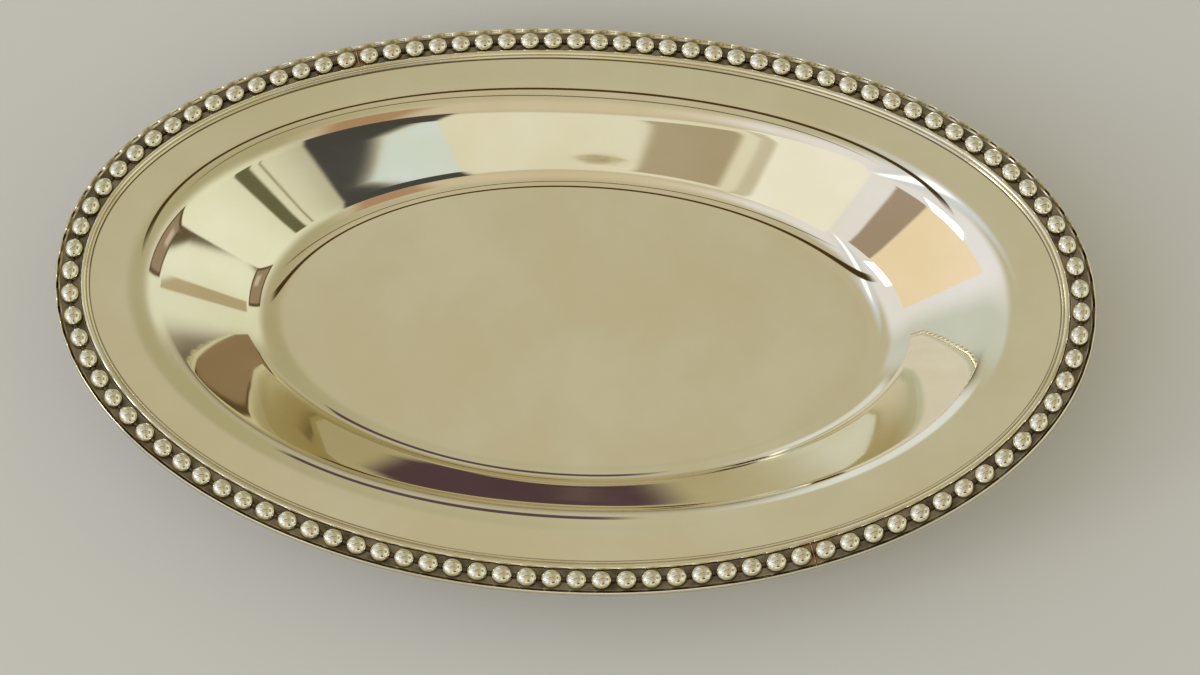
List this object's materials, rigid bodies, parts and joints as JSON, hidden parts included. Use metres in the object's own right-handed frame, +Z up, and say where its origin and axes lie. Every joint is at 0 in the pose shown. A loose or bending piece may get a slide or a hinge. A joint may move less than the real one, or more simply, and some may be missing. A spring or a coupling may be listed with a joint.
{
  "type": "oval serving tray",
  "caption": "Oval silver-plated bread and serving tray: flat floor, curved wall, wide flange swept up at the ends and a soldered border of edge wire, beads and reeded fillet.",
  "frame": {"origin": "middle of the flat face that the tray rests on", "axes": "+X along the tray's length, +Y across it, +Z up"},
  "size_m": [0.305, 0.1782, 0.037],
  "materials": {
    "plated_sheet": "polished silver plate, warm from light tarnish, with faint scuffs on the floor",
    "plated_wire": "polished silver plate, tarnish left in the grooves",
    "bead_wire": "bright polished beads, dark tarnish round their feet",
    "solder": "dull brown solder, plate worn through"
  },
  "bodies": {
    "root": {"tray_body": "plated_sheet", "edge_wire_right": "plated_wire", "edge_wire_left": "plated_wire", "bead_wire_right": "bead_wire", "bead_wire_left": "bead_wire", "fillet_wire_right": "plated_wire", "fillet_wire_left": "plated_wire", "joint_solder_front": "solder", "joint_solder_back": "solder"}
  },
  "joints": []
}
